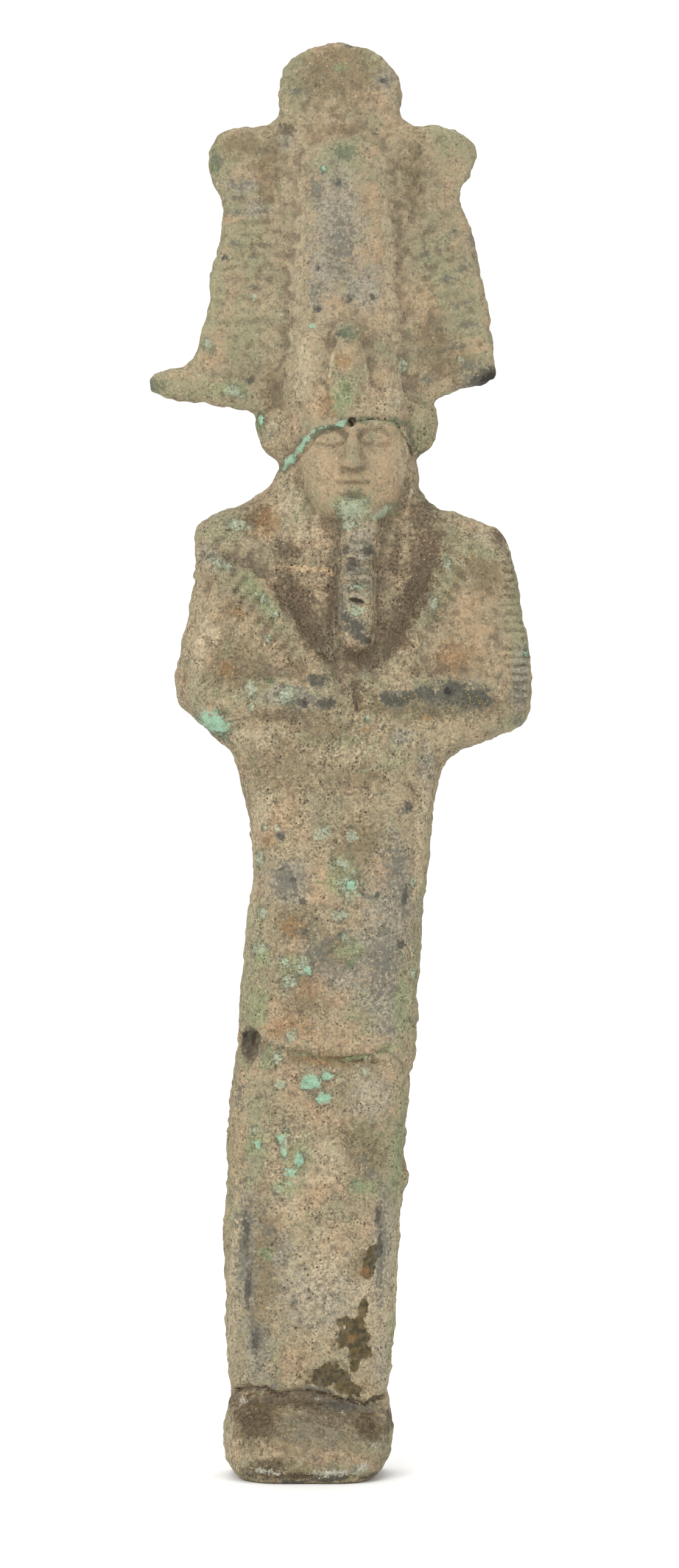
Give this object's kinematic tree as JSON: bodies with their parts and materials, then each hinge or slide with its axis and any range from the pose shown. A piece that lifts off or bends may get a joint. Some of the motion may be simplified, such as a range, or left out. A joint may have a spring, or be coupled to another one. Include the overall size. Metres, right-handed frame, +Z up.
{
  "type": "bronze osiris figure",
  "caption": "Ancient cast bronze figure of Osiris on its low plinth, with plumed crown, false beard, crook and flail, worn, cracked and corroded.",
  "frame": {"origin": "middle of the plinth's flat underside", "axes": "+Z up to the top of the crown, -Y the way the figure faces, +X to the viewer's right from in front"},
  "size_m": [0.04, 0.0177, 0.1499],
  "materials": {
    "bronze": "cast bronze under a matte sandy brown earth crust, with green corrosion in patches and dark spots"
  },
  "bodies": {
    "root": {"osiris_figure": "bronze"}
  },
  "joints": []
}
